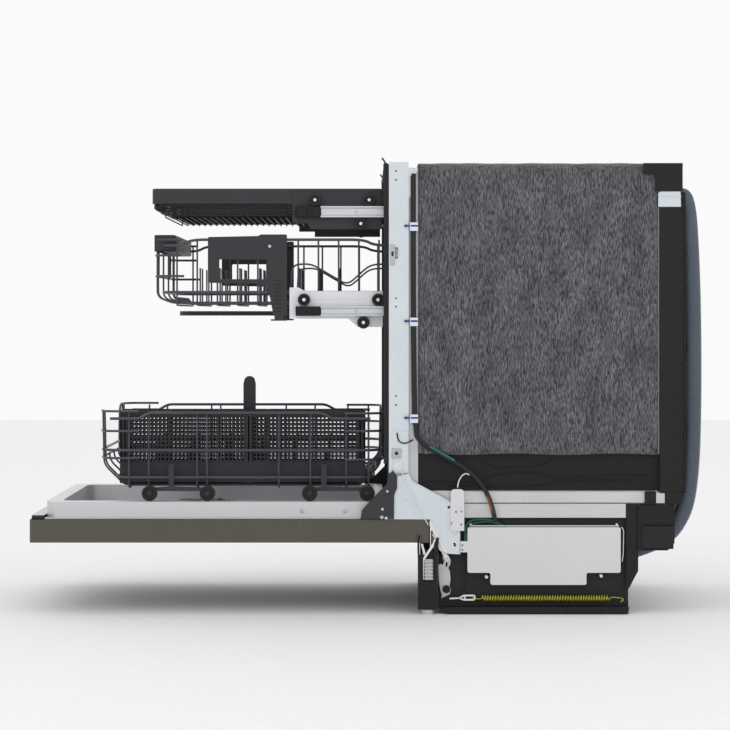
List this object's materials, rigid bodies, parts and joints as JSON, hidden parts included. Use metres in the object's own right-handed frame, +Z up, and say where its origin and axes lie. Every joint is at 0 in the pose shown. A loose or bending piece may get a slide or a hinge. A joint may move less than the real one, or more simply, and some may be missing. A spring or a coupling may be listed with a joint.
{
  "type": "built in dishwasher",
  "caption": "Built-in dishwasher without side panels: drop-down door, wheeled lower rack, height-adjustable upper rack and shallow top tray on slides, tub, base, insulation and hoses.",
  "frame": {"origin": "on the floor, in the middle of the machine's width, under the gasket plane of the tub mouth", "axes": "+X towards the machine's right side as seen from its front, +Y from the door towards the wall, +Z up"},
  "size_m": [0.603, 1.2933, 0.866],
  "materials": {
    "balance_levers": "satin",
    "balance_springs": "yellow chromate",
    "balance_straps": "satin",
    "base_pan": "matt",
    "base_rails": "satin",
    "base_skirt": "matt",
    "bitumen_pads": "matt",
    "carriage_plates": "satin",
    "control_box_cover": "satin",
    "control_panel": "gloss",
    "cutlery_basket": "satin",
    "dispenser_housing": "satin",
    "dispenser_lid": "satin",
    "door_gasket": "matt",
    "door_inner_panel": "satin",
    "door_outer_panel": "dark brushed",
    "drain_hose": "satin",
    "feed_tube": "satin",
    "filter_basket": "satin",
    "front_flange": "satin galvanised",
    "harness_clips": "satin",
    "heating_element": "satin",
    "height_adjusters": "satin",
    "hinge_arms": "satin",
    "hinge_brackets": "satin galvanised",
    "inlet_valve": "satin",
    "insulation_blanket": "felt",
    "levelling_feet": "satin",
    "lower_rack_basket": "coated wire",
    "lower_rack_tines": "coated wire",
    "lower_spray_arm": "satin",
    "lower_wheels_1": "satin",
    "lower_wheels_2": "satin",
    "lower_wheels_3": "satin",
    "lower_wheels_4": "satin",
    "power_button": "gloss",
    "pumps": "satin",
    "rail_channels": "satin",
    "rear_frame": "matt",
    "rinse_aid_cap": "satin",
    "start_button": "gloss",
    "sump": "satin",
    "terminal_box": "satin",
    "third_rack_frame": "satin",
    "third_rack_tray": "satin",
    "third_rails": "satin",
    "third_rollers_1": "satin",
    "third_rollers_2": "satin",
    "third_rollers_3": "satin",
    "top_spray_arm": "satin",
    "tub_floor": "satin",
    "tub_wrapper": "satin",
    "upper_rack_basket": "coated wire",
    "upper_rails": "satin",
    "upper_rollers_1": "satin",
    "upper_rollers_2": "satin",
    "upper_rollers_3": "satin",
    "upper_spray_arm": "satin",
    "wheel_carriers": "satin",
    "wire_harness": "matt"
  },
  "bodies": {
    "cabinet": {"tub_wrapper": "tub_wrapper", "tub_floor": "tub_floor", "front_flange": "front_flange", "door_gasket": "door_gasket", "hinge_brackets": "hinge_brackets", "base_pan": "base_pan", "base_skirt": "base_skirt", "levelling_feet": "levelling_feet", "base_rails": "base_rails", "bitumen_pads": "bitumen_pads", "control_box_cover": "control_box_cover", "terminal_box": "terminal_box", "insulation_blanket": "insulation_blanket", "rear_frame": "rear_frame", "drain_hose": "drain_hose", "wire_harness": "wire_harness", "harness_clips": "harness_clips", "sump": "sump", "pumps": "pumps", "inlet_valve": "inlet_valve", "heating_element": "heating_element", "feed_tube": "feed_tube", "rail_channels": "rail_channels", "balance_springs": "balance_springs"},
    "lower_spray_arm_body": {"lower_spray_arm": "lower_spray_arm"},
    "top_spray_arm_body": {"top_spray_arm": "top_spray_arm"},
    "filter_body": {"filter_basket": "filter_basket"},
    "levers": {"balance_levers": "balance_levers"},
    "straps": {"balance_straps": "balance_straps"},
    "door": {"door_outer_panel": "door_outer_panel", "door_inner_panel": "door_inner_panel", "hinge_arms": "hinge_arms", "control_panel": "control_panel", "dispenser_housing": "dispenser_housing"},
    "power_key": {"power_button": "power_button"},
    "start_key": {"start_button": "start_button"},
    "detergent_lid": {"dispenser_lid": "dispenser_lid"},
    "rinse_cap": {"rinse_aid_cap": "rinse_aid_cap"},
    "lower_rack": {"lower_rack_basket": "lower_rack_basket", "lower_rack_tines": "lower_rack_tines", "wheel_carriers": "wheel_carriers"},
    "cutlery": {"cutlery_basket": "cutlery_basket"},
    "upper_carriage": {"carriage_plates": "carriage_plates"},
    "upper_rack": {"upper_rack_basket": "upper_rack_basket", "height_adjusters": "height_adjusters"},
    "upper_spray_arm_body": {"upper_spray_arm": "upper_spray_arm"},
    "upper_slides": {"upper_rails": "upper_rails"},
    "third_rack": {"third_rack_frame": "third_rack_frame", "third_rack_tray": "third_rack_tray"},
    "third_slides": {"third_rails": "third_rails"},
    "lower_wheel_pair_1": {"lower_wheels_1": "lower_wheels_1"},
    "lower_wheel_pair_2": {"lower_wheels_2": "lower_wheels_2"},
    "lower_wheel_pair_3": {"lower_wheels_3": "lower_wheels_3"},
    "lower_wheel_pair_4": {"lower_wheels_4": "lower_wheels_4"},
    "upper_roller_pair_1": {"upper_rollers_1": "upper_rollers_1"},
    "upper_roller_pair_2": {"upper_rollers_2": "upper_rollers_2"},
    "upper_roller_pair_3": {"upper_rollers_3": "upper_rollers_3"},
    "third_roller_pair_1": {"third_rollers_1": "third_rollers_1"},
    "third_roller_pair_2": {"third_rollers_2": "third_rollers_2"},
    "third_roller_pair_3": {"third_rollers_3": "third_rollers_3"}
  },
  "joints": [
    {"name": "door_hinge", "type": "hinge", "parent": "cabinet", "child": "door", "pos_m": [0, 0, 0.183], "axis": [-1, 0, 0], "range_deg": [0, 15]},
    {"name": "lever_turn", "type": "hinge", "parent": "cabinet", "child": "levers", "pos_m": [0, 0.115, 0.047], "axis": [-1, 0, 0], "range_deg": [0, 14]},
    {"name": "strap_turn", "type": "hinge", "parent": "levers", "child": "straps", "pos_m": [0, 0.1165, 0.105], "axis": [1, 0, 0], "range_deg": [0, 40]},
    {"name": "power_press", "type": "slide", "parent": "door", "child": "power_key", "axis": [0, 0, -1], "range_m": [0, 0.002], "stiffness_N_per_m": 200},
    {"name": "start_press", "type": "slide", "parent": "door", "child": "start_key", "axis": [0, 0, -1], "range_m": [0, 0.002], "stiffness_N_per_m": 200},
    {"name": "dispenser_lid_slide", "type": "slide", "parent": "door", "child": "detergent_lid", "axis": [-1, 0, 0], "range_m": [0, 0.08]},
    {"name": "rinse_cap_turn", "type": "hinge", "parent": "door", "child": "rinse_cap", "pos_m": [0.052, -0.362, 0.19], "axis": [0, 0, 1], "range_deg": [0, 90]},
    {"name": "lower_rack_slide", "type": "slide", "parent": "door", "child": "lower_rack", "axis": [0, -1, 0], "range_m": [-0.547, 0]},
    {"name": "cutlery_lift", "type": "slide", "parent": "lower_rack", "child": "cutlery", "axis": [0, 0, -1], "range_m": [-0.06, 0]},
    {"name": "upper_rack_slide", "type": "slide", "parent": "cabinet", "child": "upper_carriage", "axis": [0, -1, 0], "range_m": [-0.475, 0]},
    {"name": "upper_rack_height", "type": "slide", "parent": "upper_carriage", "child": "upper_rack", "axis": [0, 0, 1], "range_m": [-0.04, 0]},
    {"name": "upper_slide_travel", "type": "slide", "parent": "cabinet", "child": "upper_slides", "axis": [0, -1, 0], "range_m": [-0.2075, 0]},
    {"name": "third_rack_slide", "type": "slide", "parent": "cabinet", "child": "third_rack", "axis": [0, -1, 0], "range_m": [-0.475, 0]},
    {"name": "third_slide_travel", "type": "slide", "parent": "cabinet", "child": "third_slides", "axis": [0, -1, 0], "range_m": [-0.2075, 0]},
    {"name": "lower_arm_spin", "type": "hinge", "parent": "cabinet", "child": "lower_spray_arm_body", "pos_m": [0, 0.265, 0.21], "axis": [0, 0, 1], "continuous": true},
    {"name": "upper_arm_spin", "type": "hinge", "parent": "upper_rack", "child": "upper_spray_arm_body", "pos_m": [0, -0.196, 0.572], "axis": [0, 0, 1], "continuous": true},
    {"name": "top_arm_spin", "type": "hinge", "parent": "cabinet", "child": "top_spray_arm_body", "pos_m": [0, 0.3, 0.826], "axis": [0, 0, 1], "continuous": true},
    {"name": "filter_lift", "type": "slide", "parent": "cabinet", "child": "filter_body", "axis": [0, 0, 1], "range_m": [0, 0.05]},
    {"name": "lower_wheel_roll_1", "type": "hinge", "parent": "lower_rack", "child": "lower_wheel_pair_1", "pos_m": [0, -0.453, 0.2273], "axis": [1, 0, 0], "range_deg": [-2095, 0]},
    {"name": "lower_wheel_roll_2", "type": "hinge", "parent": "lower_rack", "child": "lower_wheel_pair_2", "pos_m": [0, -0.342, 0.2273], "axis": [1, 0, 0], "range_deg": [-2095, 0]},
    {"name": "lower_wheel_roll_3", "type": "hinge", "parent": "lower_rack", "child": "lower_wheel_pair_3", "pos_m": [0, -0.146, 0.2273], "axis": [1, 0, 0], "range_deg": [-2095, 0]},
    {"name": "lower_wheel_roll_4", "type": "hinge", "parent": "lower_rack", "child": "lower_wheel_pair_4", "pos_m": [0, -0.036, 0.2273], "axis": [1, 0, 0], "range_deg": [-2095, 0]},
    {"name": "upper_roller_roll_1", "type": "hinge", "parent": "upper_carriage", "child": "upper_roller_pair_1", "pos_m": [0, -0.157, 0.5983], "axis": [1, 0, 0], "range_deg": [-1283, 0]},
    {"name": "upper_roller_roll_2", "type": "hinge", "parent": "upper_carriage", "child": "upper_roller_pair_2", "pos_m": [0, -0.015, 0.5983], "axis": [1, 0, 0], "range_deg": [-1283, 0]},
    {"name": "upper_roller_roll_3", "type": "hinge", "parent": "upper_carriage", "child": "upper_roller_pair_3", "pos_m": [0, -0.043, 0.5547], "axis": [1, 0, 0], "range_deg": [0, 1283]},
    {"name": "third_roller_roll_1", "type": "hinge", "parent": "third_rack", "child": "third_roller_pair_1", "pos_m": [0, -0.136, 0.7897], "axis": [1, 0, 0], "range_deg": [-1350, 0]},
    {"name": "third_roller_roll_2", "type": "hinge", "parent": "third_rack", "child": "third_roller_pair_2", "pos_m": [0, -0.032, 0.7897], "axis": [1, 0, 0], "range_deg": [-1350, 0]},
    {"name": "third_roller_roll_3", "type": "hinge", "parent": "third_rack", "child": "third_roller_pair_3", "pos_m": [0, -0.048, 0.7443], "axis": [1, 0, 0], "range_deg": [0, 1350]}
  ],
  "couplings": [
    {"joint": "lever_turn", "follows": "door_hinge", "ratio": 0.907},
    {"joint": "strap_turn", "follows": "door_hinge", "ratio": 2.64},
    {"joint": "upper_slide_travel", "follows": "upper_rack_slide", "ratio": 0.43579},
    {"joint": "third_slide_travel", "follows": "third_rack_slide", "ratio": 0.43579},
    {"joint": "lower_wheel_roll_1", "follows": "lower_rack_slide", "rad_per_m": 66.667},
    {"joint": "lower_wheel_roll_2", "follows": "lower_rack_slide", "rad_per_m": 66.667},
    {"joint": "lower_wheel_roll_3", "follows": "lower_rack_slide", "rad_per_m": 66.667},
    {"joint": "lower_wheel_roll_4", "follows": "lower_rack_slide", "rad_per_m": 66.667},
    {"joint": "upper_roller_roll_1", "follows": "upper_rack_slide", "rad_per_m": 47.017},
    {"joint": "upper_roller_roll_2", "follows": "upper_rack_slide", "rad_per_m": 47.017},
    {"joint": "upper_roller_roll_3", "follows": "upper_rack_slide", "rad_per_m": -47.017},
    {"joint": "third_roller_roll_1", "follows": "third_rack_slide", "rad_per_m": 49.492},
    {"joint": "third_roller_roll_2", "follows": "third_rack_slide", "rad_per_m": 49.492},
    {"joint": "third_roller_roll_3", "follows": "third_rack_slide", "rad_per_m": -49.492}
  ]
}
